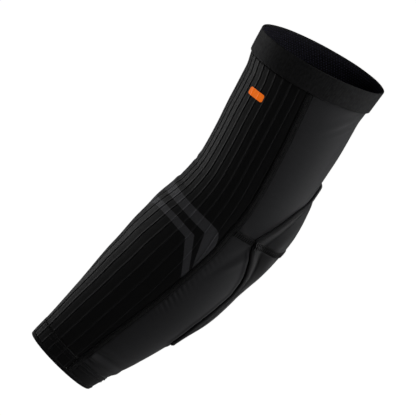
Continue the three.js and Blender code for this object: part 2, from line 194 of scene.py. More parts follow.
def add_piece(name, points, faces, material, uv=None, values=None):
    """Puts points in millimetres and lists of corners into a mesh object that rides on the sleeve."""
    mesh = bpy.data.meshes.new(name)
    mesh.from_pydata((np.asarray(points) / 1000).tolist(), [], faces)
    mesh.polygons.foreach_set("use_smooth", np.ones(len(mesh.polygons), bool))
    if uv is not None:
        corner = np.empty(len(mesh.loops), np.int32)
        mesh.loops.foreach_get("vertex_index", corner)
        layer = mesh.uv_layers.new(name="cloth")
        layer.data.foreach_set("uv", np.asarray(uv, np.float32)[corner].ravel())
    for key, value in (values or {}).items():
        mesh.attributes.new(key, "FLOAT", "POINT").data.foreach_set("value", np.asarray(value, np.float32))
    mesh.materials.append(material)
    piece = bpy.data.objects.new(name, mesh)
    bpy.context.scene.collection.objects.link(piece)
    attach(piece, "root")
    print(name, len(points), "points,", len(faces), "faces")
    return piece


def wall_faces(rows, columns, inner_columns):
    """Corners of a closed wall: outer grid, inner grid turned round, and the strips between their edges."""
    outer = np.arange(rows * columns).reshape(rows, columns)
    inner = rows * columns + np.arange(rows * inner_columns).reshape(rows, inner_columns)
    quads = lambda a, b, c, d: np.stack([a, b, c, d], axis=-1).reshape(-1, 4).tolist()
    faces = quads(outer[:-1, :-1], outer[:-1, 1:], outer[1:, 1:], outer[1:, :-1])
    faces += quads(inner[:-1, :-1], inner[1:, :-1], inner[1:, 1:], inner[:-1, 1:])
    faces += quads(outer[:-1, 0], outer[1:, 0], inner[1:, 0], inner[:-1, 0])
    faces += quads(outer[:-1, -1], inner[:-1, -1], inner[1:, -1], outer[1:, -1])
    step = (columns - 1) // (inner_columns - 1)
    for k in range(inner_columns - 1):
        first, last = k * step, (k + 1) * step
        faces.append([inner[0, k], inner[0, k + 1], *outer[0, first:last + 1][::-1]])
        faces.append([inner[-1, k + 1], inner[-1, k], *outer[-1, first:last + 1]])
    return faces


def wall(name, along, angle, out, inside, material, every=1, values=None):
    """A closed wall over a grid of places. out and inside are its distances from the skin, and every tells
    how many outer columns go to one inner column. values are distances from the edges of prints, which lie
    on the outer face only."""
    along, angle, out, inside = np.broadcast_arrays(along, angle, out, inside)
    outer = skin(along, angle, out)
    inner = skin(along, angle, inside)[:, ::every]
    points = np.concatenate([outer.reshape(-1, 3), inner.reshape(-1, 3)])
    uv = np.concatenate([cloth_uv(outer, along).reshape(-1, 2),
                         cloth_uv(inner, along[:, ::every]).reshape(-1, 2)])
    both = {key: np.concatenate([value.ravel(), np.full(inner[..., 0].size, NO_PRINT)])
            for key, value in (values or {}).items()}
    return add_piece(name, points, wall_faces(*outer.shape[:2], inner.shape[1]), material, uv, both)


def ring(name, along, out, material, steps=240, wave=None):
    """A closed profile, given as places along the arm and distances from the skin, carried round the arm.
    wave(angle) adds a little to the distance."""
    angle = np.linspace(0, 360, steps, endpoint=False)[None, :]
    along, out = np.asarray(along, float)[:, None], np.asarray(out, float)[:, None]
    points = skin(along, angle, out + (wave(angle) if wave else 0))
    rows, columns = points.shape[:2]
    index = np.arange(rows * columns).reshape(rows, columns)
    down, round_ = np.roll(index, -1, axis=0), np.roll(index, -1, axis=1)
    faces = np.stack([index, round_, np.roll(down, -1, axis=1), down], axis=-1).reshape(-1, 4).tolist()
    girth = np.linalg.norm(np.diff(points, axis=1, append=points[:, :1]), axis=2).sum(axis=1).mean()
    u = np.broadcast_to(angle / 360 * girth, (rows, columns))
    steps_on = [np.diff(line[:, 0], prepend=line[0, 0]) for line in (along, out)]
    run = np.cumsum(np.hypot(*steps_on))
    uv = np.stack([u, np.broadcast_to(run[:, None], (rows, columns))], axis=-1) / 1000
    return add_piece(name, points.reshape(-1, 3), faces, material, uv.reshape(-1, 2))


# %% [markdown]
# ## Threads
# At this size a seam is recognised by its thread: flat-locked seams show a zigzag between straight rows,
# and hems show rows of short dashes. Each thread is a thin tube laid on the cloth along a path of places,
# and each dash is a small bead, copied along its row.

# %% Thread helpers
def unit(vectors):
    return vectors / np.linalg.norm(vectors, axis=-1, keepdims=True)


def run_along(points):
    """Length of a path up to each of its points."""
    return np.concatenate([[0], np.cumsum(np.linalg.norm(np.diff(points, axis=0), axis=1))])


def surface_frame(along, angle, out):
    """Points on the cloth, with the outward direction at each."""
    points = skin(along, angle, out)
    return points, unit(skin(along, angle, np.asarray(out) + 1.0) - points)


def tube_arrays(points, normal, radius, sides=6):
    """Round sections on a path: point + radius * (cos * normal + sin * sideways), joined ring to ring."""
    tangent = unit(np.gradient(points, axis=0))
    side = unit(np.cross(tangent, normal))
    turn = np.linspace(0, 2 * np.pi, sides, endpoint=False)
    rings = points[:, None] + radius * (np.cos(turn)[None, :, None] * np.cross(side, tangent)[:, None]
                                        + np.sin(turn)[None, :, None] * side[:, None])
    index = np.arange(rings.shape[0] * sides).reshape(-1, sides)
    after = np.roll(index, -1, axis=1)
    faces = np.stack([index[:-1], index[1:], after[1:], after[:-1]], axis=-1).reshape(-1, 4).tolist()
    faces += [index[0].tolist(), index[-1][::-1].tolist()]
    return rings.reshape(-1, 3), faces


BEAD_SECTIONS, BEAD_CORNERS = 7, 6


def dash_arrays(points, tangent, normal, length, width, height):
    """One bead at each point: a section that swells from nothing to its full size and back over its
    length."""
    t = np.linspace(-1, 1, BEAD_SECTIONS)[None, :, None, None]
    turn = np.linspace(0, 2 * np.pi, BEAD_CORNERS, endpoint=False)[None, None, :, None]
    swell = np.sqrt(np.maximum(1 - t ** 4, 0.02))
    side = np.cross(tangent, normal)[:, None, None]
    beads = (points[:, None, None] + tangent[:, None, None] * t * length / 2
             + side * np.sin(turn) * swell * width / 2
             + normal[:, None, None] * np.cos(turn) * swell * height)
    index = np.arange(beads[..., 0].size).reshape(len(points), BEAD_SECTIONS, BEAD_CORNERS)
    after = np.roll(index, -1, axis=2)
    faces = np.stack([index[:, :-1], index[:, 1:], after[:, 1:], after[:, :-1]], axis=-1)
    faces = faces.reshape(-1, 4).tolist() + index[:, 0].tolist() + index[:, -1, ::-1].tolist()
    return beads.reshape(-1, 3), faces


def merge(parts):
    """Several (points, faces) pairs as one pair."""
    points, faces, start = [], [], 0
    for more_points, more_faces in parts:
        points.append(more_points)
        faces += [[corner + start for corner in face] for face in more_faces]
        start += len(more_points)
    return np.concatenate(points), faces


def add_threads(name, parts, material):
    """Tubes and dashes as one piece."""
    points, faces = merge(parts)
    piece = add_piece(name, points, faces, material)
    return piece


def dashes_on(along, angle, out, pitch, length, width=0.7, height=0.35):
    """Dashes at equal distances along a path of places on the cloth."""
    points, normal = surface_frame(along, angle, out)
    run = run_along(points)
    at = np.arange(pitch / 2, run[-1], pitch)
    pick = lambda v: np.stack([np.interp(at, run, v[:, k]) for k in range(3)], axis=1)
    tangent = unit(pick(np.gradient(points, axis=0)))
    outward = pick(normal)
    outward = unit(outward - tangent * np.sum(outward * tangent, axis=1, keepdims=True))
    return dash_arrays(pick(points), tangent, outward, length, width, height)


# %% [markdown]
# ## Cloth materials
# All the cloth is knitted or woven from polyamide and elastane. Such yarn is nearly black or charcoal,
# not shiny, and its fine hairs catch light at grazing angles, which is why the sleeve's edges look pale
# against its middle. A real knit has wales about 0.7 mm apart, which is too fine to show at this size, so
# the wales here are about twice as wide. Height comes from two waves: rounded columns, and V-shaped
# stitches along each column.

# %% Node helpers
def linear(hex_colour):
    """An sRGB hex colour as linear red, green and blue."""
    value = np.array([int(hex_colour[k:k + 2], 16) for k in (1, 3, 5)]) / 255
    return [*np.where(value <= 0.04045, value / 12.92, ((value + 0.055) / 1.055) ** 2.4), 1.0]


def add_node(tree, kind, inputs=(), **settings):
    """One node with its settings. Its inputs are given in order, or by name or number. Each is a value, a
    socket, or a node, whose first output is then used."""
    made = tree.nodes.new("ShaderNode" + kind)
    for key, value in settings.items():
        setattr(made, key, value)
    for key, value in inputs.items() if isinstance(inputs, dict) else enumerate(inputs):
        if isinstance(value, bpy.types.Node):
            value = value.outputs[0]
        if isinstance(value, bpy.types.NodeSocket):
            tree.links.new(value, made.inputs[key])
        else:
            made.inputs[key].default_value = value
    return made


def new_material(name, roughness, sheen, sheen_roughness=0.4, ior=1.5):
    """A material with its surface shader; returns the material, its tree and the shader."""
    material = bpy.data.materials.new(name)
    material.use_nodes = True
    tree = material.node_tree
    shader = tree.nodes["Principled BSDF"]
    shader.inputs["Roughness"].default_value = roughness
    shader.inputs["IOR"].default_value = ior
    shader.inputs["Sheen Weight"].default_value = sheen
    shader.inputs["Sheen Roughness"].default_value = sheen_roughness
    shader.inputs["Sheen Tint"].default_value = (1.0, 1.0, 1.0, 1.0)
    return material, tree, shader


def two_tone(tree, shader, share, dark, light):
    """Gives the shader a mix of two colours by a share from 0 to 1; returns the mixed colour."""
    colour = add_node(tree, "Mix", {0: share, 6: linear(dark), 7: linear(light)}, data_type="RGBA").outputs[2]
    tree.links.new(colour, shader.inputs["Base Color"])
    return colour


def emboss(tree, shader, height, strength, distance):
    """Gives the shader a bump of that height, distance metres for a height of 1."""
    bump = add_node(tree, "Bump", {"Strength": strength, "Distance": distance, "Height": height})
    tree.links.new(bump.outputs[0], shader.inputs["Normal"])


def knit_height(tree, wale, course):
    """Height of knitted stitches: rounded columns, wale metres apart, each crossed by slanting stitches,
    course metres apart, that meet in a V at the column's middle."""
    uv = add_node(tree, "UVMap", uv_map="cloth")
    place = add_node(tree, "SeparateXYZ", [uv])
    column = add_node(tree, "Math", [place.outputs[0], wale], operation="DIVIDE")
    column = add_node(tree, "Math", [column], operation="FRACT")
    beside = add_node(tree, "Math", [column, 0.5], operation="SUBTRACT")
    beside = add_node(tree, "Math", [beside], operation="ABSOLUTE")
    row = add_node(tree, "Math", [place.outputs[1], 1 / course, beside], operation="MULTIPLY_ADD")
    row = add_node(tree, "Math", [row, 2 * np.pi], operation="MULTIPLY")
    stitch = add_node(tree, "Math", [row], operation="SINE")
    rounded = add_node(tree, "Math", [beside, beside], operation="MULTIPLY")
    rounded = add_node(tree, "Math", [1.0, rounded], operation="SUBTRACT")
    return add_node(tree, "Math", [stitch, 0.15, rounded], operation="MULTIPLY_ADD")


def knit(name, light, dark, wale, course, depth, roughness, sheen, grain=(0.006, 0.006), contrast=0.35):
    """A knitted cloth: two close colours, mottled in patches of grain metres across and along the cloth,
    and darker between the columns, where the knit is low: painted shade in its hollows."""
    material, tree, shader = new_material(name, roughness, sheen)
    height = knit_height(tree, wale, course)
    uv = add_node(tree, "UVMap", uv_map="cloth")
    grained = add_node(tree, "Mapping", {"Vector": uv, "Scale": (1 / grain[0], 1 / grain[1], 1)})
    mottle = add_node(tree, "TexNoise", {"Vector": grained, "Scale": 1.0, "Detail": 3.0, "Roughness": 0.6})
    place = add_node(tree, "TexCoord").outputs["Object"]
    fuzz = add_node(tree, "TexNoise", {"Vector": place, "Scale": 1 / 0.0008, "Detail": 2.0})
    mottle = add_node(tree, "Math", [mottle, contrast, -contrast / 2], operation="MULTIPLY_ADD")
    # the knit's height darkens the colour where it is low, between columns and stitches: painted shade
    tone = add_node(tree, "Math", [height, 0.55, mottle], operation="MULTIPLY_ADD")
    tone = add_node(tree, "Math", [fuzz, 0.3, tone], operation="MULTIPLY_ADD")
    relief = add_node(tree, "Math", [fuzz, 0.35, height], operation="MULTIPLY_ADD")
    emboss(tree, shader, relief, 0.6, depth)
    return material, tree, shader, two_tone(tree, shader, tone, dark, light)


# %% [markdown]
# ## The cloths of this sleeve
# The plain panels are charcoal with a soft sheen, the ribbed panel is nearly black, and the elastic, the
# binding and the seams lie between. One recipe makes them all, so that they look like one maker's cloth,
# and only colours, stitch sizes and sheen differ. The elastic has coarse, strong grain, as woven tape has.

# %% Charcoal and black cloths
smooth_knit, *_ = knit("smooth_stretch_knit", "#4c4c4f", "#37373a", 0.0013, 0.0011, 0.00007, 0.62, 0.40)
pad_knit, *_ = knit("pad_cover_knit", "#404042", "#2c2c2e", 0.0012, 0.0010, 0.00007, 0.58, 0.42)
# the hem is the plain panel knit turned up, in darker colours: painted shade for the dimmer light near the
# cuff
hem_knit_painted_shade, *_ = knit("hem_knit_painted_shade", "#2a2a2c", "#1a1a1c", 0.0013, 0.0011, 0.00008, 0.66, 0.28)
elastic, *_ = knit("woven_elastic", "#343436", "#0c0c0e", 0.0018, 0.0012, 0.00022, 0.7, 0.13,
                   (0.0018, 0.0045), 2.4)
binding_cloth, *_ = knit("binding_tape", "#222224", "#121214", 0.0011, 0.0009, 0.00010, 0.75, 0.2)
seam_cloth, *_ = knit("seam_edge_knit", "#1a1a1c", "#0d0d0e", 0.0011, 0.0009, 0.00010, 0.8, 0.15)


# %% [markdown]
# ## Thread
# The seams are sewn with spun polyester, and a lighter overlock thread shows at the shield's corners. The
# twist of such thread can't be seen from here, so a real tube with a mottled tone is enough: it catches
# the light along its length as thread does.

# %% Thread
def thread_material(name, light, dark):
    """Spun polyester thread: matt, with a twist too fine to see, so only its tone varies."""
    material, tree, shader = new_material(name, 0.6, 0.2)
    place = add_node(tree, "TexCoord").outputs["Object"]
    mottle = add_node(tree, "TexNoise", {"Vector": place, "Scale": 1 / 0.0016, "Detail": 3.0})
    two_tone(tree, shader, mottle, dark, light)
    emboss(tree, shader, mottle, 0.4, 0.0001)
    return material


thread = thread_material("spun_polyester_thread", "#464648", "#242426")
pale_thread = thread_material("pale_overlock_thread", "#8a8a8c", "#4a4a4c")

# %% [markdown]
# ## The ribbed panel
# On the real sleeve the ribs are knitted in: thin welts that fan out over the crook and run into the seam
# where the panel narrows. Their columns of the grid follow the ribs, so each welt is real geometry with
# a steep side and a shallow one. Two plain pale stripes are printed across the panel below the crook, and
# a small orange bar near the band. Their outlines are worked out here, as distances in millimetres kept
# with the mesh, and the material only draws where a distance is above zero, which keeps the edges sharp.

# %% Lines that the pieces share
BAND_HEIGHT = 25.0
BINDING_HEIGHT = 5.0
HEM_HEIGHT = 17.0
SEAM_WIDTH = 6.0
SEAM_PROUD = 0.6
SEAM_WALL = 2.2
PANELS_FROM = BINDING_HEIGHT + HEM_HEIGHT + 2 * GAP
PANELS_TO = SLEEVE_LENGTH - BAND_HEIGHT - GAP
ELBOW_SEAM_AT = FOREARM_LENGTH + 10.0
CLEAR_OF_SEAM = SEAM_WIDTH / 2 + GAP

# columns: along (share of the length), angle of the front seams
FRONT_SEAM = np.array([(0.00, 101), (0.08, 98), (0.16, 95.5), (0.30, 95), (0.42, 97.2), (0.48, 98.3),
                       (0.56, 95.8), (0.64, 95), (0.74, 92.8), (0.85, 90.3), (1.00, 87)])
# columns: along (share of the length), the first rib's angle, degrees from one rib to the next
RIB_FAN = np.array([(0.00, -38, 16.2), (0.14, -29, 14.4), (0.23, -21.5, 13.2), (0.32, -17, 12.5),
                    (0.40, -12, 11.8), (0.47, -5.5, 10.8), (0.53, -0.5, 9.7), (0.60, 2, 9.0),
                    (0.73, 3.2, 8.5), (1.00, 4.6, 8.1)])
RIBS_PER_SIDE = 11
RIB_HEIGHT = 0.5


def seam_angle(along):
    return look_up(FRONT_SEAM, 1, along / SLEEVE_LENGTH)


def beside_seam(along, side):
    """The angle where a panel stops beside the front seam: side -1 in front of it, 1 behind it."""
    angle = seam_angle(along)
    return angle + side * degrees_for(SEAM_WIDTH / 2 + GAP, along, angle)


def rib_relief(offset):
    """Height at a distance in millimetres from a rib's crest, positive towards the seam: a narrow welt
    with a shallow side towards the crook, and a groove at its foot on the steep side."""
    crest = RIB_HEIGHT * np.where(offset < 0, np.exp(-(offset / 0.85) ** 2), np.exp(-(offset / 0.42) ** 2))
    groove = -0.17 * np.exp(-((offset - 1.0) / 0.5) ** 2)
    return crest + groove


# %% [markdown]
# ## Creases
# Where the arm bends, the ribbed cloth bunches into shallow rolls across the crook. They could be sculpted
# or simulated. A sum of soft ridges is used, because it lies on the same grid as the ribs and gives the
# same result each time.

# %% Creases in the crook of the elbow
# columns: along (share of the length), angle, length round the arm, width, height, all in shares of
# ARM_DEPTH except the angle
CREASES = np.array([
    (0.652, 0, 0.16, 0.030, 0.006), (0.640, 0, 0.20, 0.020, -0.010), (0.628, 0, 0.14, 0.024, 0.004),
    (0.574, 0, 0.18, 0.022, -0.007), (0.560, 0, 0.18, 0.034, 0.006),
])


def soft_lines(table, along, angle):
    """Each row adds height * exp(-(distance along / width)^2 - (distance round / length)^2)."""
    total = np.zeros(np.broadcast(along, angle).shape)
    for at, centre, length, width, height in table:
        there = at * SLEEVE_LENGTH
        up_arm = (along - there) / (width * ARM_DEPTH)
        round_arm = (angle - centre) / degrees_for(1.0, there, centre) / (length * ARM_DEPTH)
        total = total + height * ARM_DEPTH * np.exp(-up_arm ** 2 - round_arm ** 2)
    return total


# %% [markdown]
# ## Printed shapes
# A print has no thickness worth modelling, and a picture of it would blur at its edges. So the outlines
# are lists of places on the sleeve, and each point of the mesh keeps its distance from the nearest one.

# %% Stripes and bar
# Each stripe runs round the arm and turns down to a point at the seam. Each edge is a list of places: the
# angle, and the distance along the arm in millimetres from the elbow.
LOWER_STRIPE = (
    [(0, -38.8), (11, -31.2), (25, -27.4), (45, -25.6), (69, -26.6), (90.5, -57.8), (100, -72)],
    [(0, -25.0), (15, -19.8), (30, -17.3), (50, -16.0), (73.5, -17.8), (90.7, -45.9), (100, -61)],
)
UPPER_STRIPE = (
    [(0, -9.7), (15, -6.4), (33, -5.4), (50, -6.0), (78.5, -8.4), (90.7, -38.8), (100, -60)],
    [(0, 6.8), (15, 8.8), (38, 8.0), (58, 6.3), (76, 4.3), (84, 2.5), (87.4, 0.5), (90.4, -3.3),
     (93, -9.0), (100, -25)],
)


def stripe_distance(along, angle):
    """Millimetres inside the nearer stripe, negative outside both: the distance along the arm to each edge,
    times the cosine of the edge's slope, and the smaller of a stripe's two."""
    above = along - FOREARM_LENGTH
    angle = np.abs(angle)
    found = []
    for stripe in (LOWER_STRIPE, UPPER_STRIPE):
        inside = []
        for edge, side in zip(stripe, (1, -1)):
            at, place = np.array(edge, float).T
            rise = np.interp(angle + 0.5, at, place) - np.interp(angle - 0.5, at, place)
            slope = rise * degrees_for(1.0, along, angle)
            inside.append(side * (above - np.interp(angle, at, place)) / np.hypot(1, slope))
        found.append(np.minimum(*inside))
    return np.maximum(*found)


def bar_distance(along, angle):
    """Millimetres inside the orange bar, a rounded rectangle on the side that faces the viewer."""
    centre_along, centre_angle = 0.870 * SLEEVE_LENGTH, 42.0
    up_arm = np.abs(along - centre_along) - 2.8
    round_arm = np.abs(angle - centre_angle) / degrees_for(1.0, centre_along, centre_angle) - 7.8
    outside = np.hypot(np.maximum(up_arm, 0), np.maximum(round_arm, 0))
    return 1.2 - outside - np.minimum(np.maximum(up_arm, round_arm), 0)


# %% [markdown]
# ## Ink on the ribbed cloth
# The ribbed cloth is the darkest one, with the prints drawn over it. A noise moves the ink's edge by a
# fraction of a millimetre, as ink does on yarn, and the knit's relief stays the same under the ink.

# %% Ribbed cloth with its prints
def ribbed_material():
    """The near-black knit, with a pale print where the stripe distance is above zero and an orange one
    where the bar distance is. A print lies on the yarn, so the knit still shows through it."""
    material, tree, shader, colour = knit("ribbed_stretch_knit", "#1b1b1d", "#0c0c0d", 0.0012, 0.0010,
                                          0.00002, 0.6, 0.45)
    place = add_node(tree, "TexCoord").outputs["Object"]
    ragged = add_node(tree, "TexNoise", {"Vector": place, "Scale": 1 / 0.0012, "Detail": 1.0})
    for name, light, dark in (("stripe", "#6e6e72", "#5c5c60"), ("bar", "#ff8c1e", "#ff7a10")):
        distance = add_node(tree, "Attribute", attribute_name=name).outputs["Fac"]
        distance = add_node(tree, "Math", [ragged, 0.4, distance], operation="MULTIPLY_ADD")
        inside = add_node(tree, "MapRange", [distance, 0.08, 0.32])
        ink = add_node(tree, "Mix", {0: ragged, 6: linear(dark), 7: linear(light)}, data_type="RGBA")
        colour = add_node(tree, "Mix", {0: inside, 6: colour, 7: ink.outputs[2]}, data_type="RGBA").outputs[2]
    tree.links.new(colour, shader.inputs["Base Color"])
    # the bar, last in the loop, also gives off a little light of its own colour: painted light that keeps the
    # orange ink bright
    tree.links.new(inside.outputs[0], shader.inputs["Emission Strength"])
    shader.inputs["Emission Color"].default_value = linear("#cc5c10")
    return material


ribbed_knit = ribbed_material()


# %% [markdown]
# ## A grid that follows the ribs
# A regular grid would need very many columns to show a welt half a millimetre high. So the columns run
# along the ribs, close together on each one's steep side, and they close up where the fan of ribs runs
# into the seam.

# %% Build the ribbed panel
# shares of the rib pitch, closer together where a rib is steep
RIB_COLUMNS = np.array([-0.40, -0.28, -0.18, -0.12, -0.07, -0.03, 0.0,
                        0.03, 0.06, 0.10, 0.15, 0.21, 0.30, 0.42])


def ribbed_grid(along):
    """Angles and rib heights of the panel's columns. Columns stand at fixed shares of the rib pitch round
    each rib. Those that would pass the middle of the panel or the seam close up there, and a rib fades as it
    gets there."""
    along = along[:, None]
    edge = beside_seam(along, -1)
    first = look_up(RIB_FAN, 1, along / SLEEVE_LENGTH)
    pitch = look_up(RIB_FAN, 2, along / SLEEVE_LENGTH)
    rib, share = np.meshgrid(np.arange(RIBS_PER_SIDE), RIB_COLUMNS, indexing="ij")
    crest = first + rib.ravel() * pitch
    order = np.arange(rib.size)
    least, most = 0.03 * (order + 1), edge - 0.03 * (rib.size - order)
    angle = np.clip(crest + share.ravel() * pitch, least, most)
    offset = (angle - crest) / degrees_for(1.0, along, np.clip(crest, 0, edge))
    fade = (smooth(crest / degrees_for(3.0, along, 0 * crest))
            * smooth((edge - crest) / degrees_for(2.6, along, edge)))
    height = rib_relief(offset) * fade
    angle = np.concatenate([-edge, -angle[:, ::-1], 0 * edge, angle, edge], axis=1)
    height = np.concatenate([0 * edge, height[:, ::-1], 0 * edge, height, 0 * edge], axis=1)
    return angle, height


def ribbed_piece(name, along, proud, thickness, every):
    """A ribbed wall over a run of places along the arm."""
    angle, height = ribbed_grid(along)
    along = np.broadcast_to(along[:, None], angle.shape)
    to_edge = (beside_seam(along, -1) - np.abs(angle)) / degrees_for(1.0, along, angle)
    out = proud + height + soft_lines(CREASES, along, angle) - 0.8 * np.exp(-(to_edge / 0.9) ** 2)
    values = {"stripe": stripe_distance(along, angle), "bar": bar_distance(along, angle)}
    return wall(name, along, angle, out, np.minimum(out, proud) - thickness, ribbed_knit, every, values)


front = ribbed_piece("front_panel_knit", np.linspace(PANELS_FROM - GAP, PANELS_TO + GAP, 150), 0, WALL, 2)
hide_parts("front_panel")

# %% [markdown]
# ## The plain panels
# The back of the sleeve is smooth charcoal knit. It is nearly featureless, so its folds matter: a pinch
# above the hem, slanting pulls under the band, and short ripples where the forearm panel is gathered into
# the front seam. All are sums of soft ridges added to the distance from the skin. The outline of the
# elbow shield comes first, because the panels sink in a crease along its edge.

# %% Outline of the shield
PAD_BELOW, PAD_ABOVE, PAD_HALF_WIDTH = 138.0, 73.0, 35.0
PAD_EDGE, PAD_MIDDLE = 2.2, 7.2
PAD_FLANGE, PAD_SHOULDER = 7.0, 11.0
# columns: reach (-1 lower end, 0 elbow seam, 1 upper end), half width (share), rise (share)
PAD_OUTLINE = np.array([
    (-1.00, 0.20, 0.00), (-0.98, 0.28, 0.01), (-0.89, 0.36, 0.12), (-0.80, 0.43, 0.27),
    (-0.72, 0.47, 0.40), (-0.61, 0.47, 0.55), (-0.50, 0.46, 0.60), (-0.40, 0.44, 0.63),
    (-0.34, 0.49, 0.68), (-0.28, 0.55, 0.74), (-0.22, 0.65, 0.83), (-0.17, 0.75, 0.90),
    (-0.11, 0.85, 0.96), (-0.06, 0.93, 0.98), (-0.01, 0.97, 1.00), (0.04, 1.00, 1.00),
    (0.18, 0.96, 0.94), (0.31, 0.89, 0.84), (0.44, 0.80, 0.71), (0.58, 0.66, 0.52), (0.67, 0.51, 0.40),
    (0.73, 0.38, 0.31), (0.83, 0.26, 0.19), (0.93, 0.19, 0.07), (1.00, 0.10, 0.00),
])


def pad_reach(along):
    above = along - ELBOW_SEAM_AT
    return np.where(above < 0, above / PAD_BELOW, above / PAD_ABOVE)


def pad_half(along):
    """Half the shield's width in millimetres, and half its angle round the arm."""
    half = look_up(PAD_OUTLINE, 1, pad_reach(along)) * PAD_HALF_WIDTH
    return half, np.degrees(np.arcsin(np.minimum(half / (half_sizes(along)[1] + PAD_EDGE), 0.95)))


# %% [markdown]
# ## Folds, pulls and ripples
# The large folds are shared with the shield that lies on the panels. Fine pulls and the ripples at the
# seam are only in the cloth of the panels. A cloth simulation would give folds of its own, but not these
# ones in these places, and the sleeve is drawn tight, so its folds are few.

# %% Folds
# columns: at (share of the length), angle, length, width, depth (shares of ARM_DEPTH), slant in degrees
FOLDS = np.array([
    (0.066, 128, 0.46, 0.050, -0.020, 0), (0.082, 118, 0.30, 0.050, 0.014, 6),
    (0.075, 165, 0.30, 0.060, 0.014, 0), (0.910, 136, 0.26, 0.055, 0.016, 36),
    (0.928, 144, 0.26, 0.055, -0.014, 36),
])
# finer pulls that only the cloth shows, in the same columns
PULLS = np.array([
    (0.893, 138, 0.20, 0.030, -0.005, 36), (0.880, 140, 0.22, 0.028, 0.004, 34),
    (0.935, 160, 0.16, 0.026, -0.006, 20), (0.066, 102, 0.12, 0.022, -0.014, 8),
    (0.079, 103, 0.11, 0.018, 0.014, 10), (0.096, 104, 0.16, 0.026, -0.018, 12),
    (0.520, 118, 0.22, 0.060, -0.010, 64), (0.490, 122, 0.20, 0.050, 0.008, 60),
    (0.570, 104, 0.16, 0.040, 0.006, -40), (0.455, 112, 0.24, 0.050, -0.006, 70),
    (0.115, 112, 0.24, 0.036, 0.008, 14), (0.130, 124, 0.30, 0.036, -0.006, 10),
    (0.100, 140, 0.30, 0.030, -0.006, -8), (0.150, 108, 0.20, 0.040, 0.006, 20),
])


def fold_height(table, along, angle):
    """Each fold is depth * exp(-(across / width)^2 - (lengthwise / length)^2), with its length turned by
    slant from going straight round the arm. Both sides of the sleeve have the same folds."""
    from_crook = np.where(angle > 180, 360 - angle, angle)
    total = np.zeros(np.broadcast(along, angle).shape)
    for at, centre, length, width, depth, slant in table:
        there = at * SLEEVE_LENGTH
        up_arm = along - there
        round_arm = (from_crook - centre) / degrees_for(1.0, there, centre)
        c, s = np.cos(np.radians(slant)), np.sin(np.radians(slant))
        across = (up_arm * c - round_arm * s) / (width * ARM_DEPTH)
        lengthwise = (round_arm * c + up_arm * s) / (length * ARM_DEPTH)
        total = total + depth * ARM_DEPTH * np.exp(-across ** 2 - lengthwise ** 2)
    return total


RIPPLE_PITCH, RIPPLE_HEIGHT = 6.2, 0.46


def seam_ripples(along, angle):
    """Ripples RIPPLE_PITCH apart at the front seam that die out 12 mm from it, strongest on the forearm."""
    from_crook = np.where(angle > 180, 360 - angle, angle)
    away = (from_crook - seam_angle(along)) / degrees_for(1.0, along, from_crook)
    slanted = along + 0.42 * away
    phase = 2 * np.pi * slanted / RIPPLE_PITCH + 0.7 * np.sin(slanted / 17.0)
    where = np.exp(-((along - 0.375 * SLEEVE_LENGTH) / 38) ** 2) + 0.12
    patchy = 0.65 + 0.35 * np.sin(slanted / 11.0 + 1.3)
    return RIPPLE_HEIGHT * np.cos(phase) * where * patchy * np.exp(-((away - 3.5) / 7.5) ** 2)


def beside_shield(along, angle):
    """Millimetres from the shield's edge to a place on a plain panel, negative under the shield: the
    distance round the arm, times the cosine of the edge's slope."""
    half_angle = pad_half(along)[1]
    slope = pad_half(along + 0.5)[0] - pad_half(along - 0.5)[0]
    round_arm = (np.abs(180 - angle) - half_angle) / degrees_for(1.0, along, angle)
    reach = pad_reach(along)
    past_end = PAD_BELOW * np.maximum(-1 - reach, 0) + PAD_ABOVE * np.maximum(reach - 1, 0)
    under = (round_arm < 0) & (past_end == 0)
    return np.hypot(round_arm / np.hypot(1, slope), past_end) * np.where(under, -1, 1)


def back_relief(along, angle):
    """Everything that lifts a plain panel off the skin. The panel sinks in a crease at the shield's edge,
    swells beside it on the forearm, and lies plain under the shield."""
    away = beside_shield(along, angle)
    crease = -0.9 * np.exp(-((away - 0.2) / 0.8) ** 2) - 0.9 * np.exp(-((along - PANELS_FROM) / 1.4) ** 2)
    swell = 0.8 * np.exp(-((away - 3.2) / 2.2) ** 2) * smooth((ELBOW_SEAM_AT - along) / 12)
    fine = fold_height(PULLS, along, angle) + seam_ripples(along, angle)
    return fold_height(FOLDS, along, angle) + crease + (fine + swell) * smooth(away / 2)


def back_angles(along, columns):
    """Angles across the back of the arm, from one front seam round the elbow to the other."""
    start = beside_seam(along, 1)[:, None]
    return start + (360 - 2 * start) * np.linspace(0, 1, columns)[None, :]


def back_piece(name, start, stop, rows, columns=241):
    along = np.linspace(start, stop, rows)
    angle = back_angles(along, columns)
    along = np.broadcast_to(along[:, None], angle.shape)
    out = back_relief(along, angle)
    return wall(name, along, angle, out, out - WALL, smooth_knit, 3)


# %% [markdown]
# ## The two plain panels
# Both panels are the same kind of wall, from one front seam round the elbow to the other. They stop short
# of the seams' strips, which cover the joint.

# %% Build the plain panels
forearm_back = back_piece("forearm_back_knit", PANELS_FROM - GAP, ELBOW_SEAM_AT - CLEAR_OF_SEAM, 150)
upper_back = back_piece("upper_back_knit", ELBOW_SEAM_AT + CLEAR_OF_SEAM, PANELS_TO + GAP, 116)
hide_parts("forearm_back_panel")
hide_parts("upper_back_panel")

# %% [markdown]
# ## Flat-locked seams
# The panels meet edge to edge, and four needles and a looper cover the joint: a slightly raised strip with
# straight rows along it and a zigzag across. The strip is one low domed wall; the rows and the zigzag are
# threads laid on it.

# %% Seam strips
def dome(share):
    """Height of a seam strip at a share -1 to 1 across it: level, with edges that turn down."""
    return SEAM_PROUD - 0.45 * np.abs(share) ** 4


def front_seam(name, side):
    along = np.linspace(BINDING_HEIGHT + GAP, PANELS_TO + GAP, 170)[:, None]
    share = np.linspace(-1, 1, 13)[None, :]
    centre = seam_angle(along)
    across = side * centre + share * degrees_for(SEAM_WIDTH / 2 + 0.1, along, centre)
    return wall(name, along, across, dome(share), SEAM_PROUD - SEAM_WALL, seam_cloth, 3)


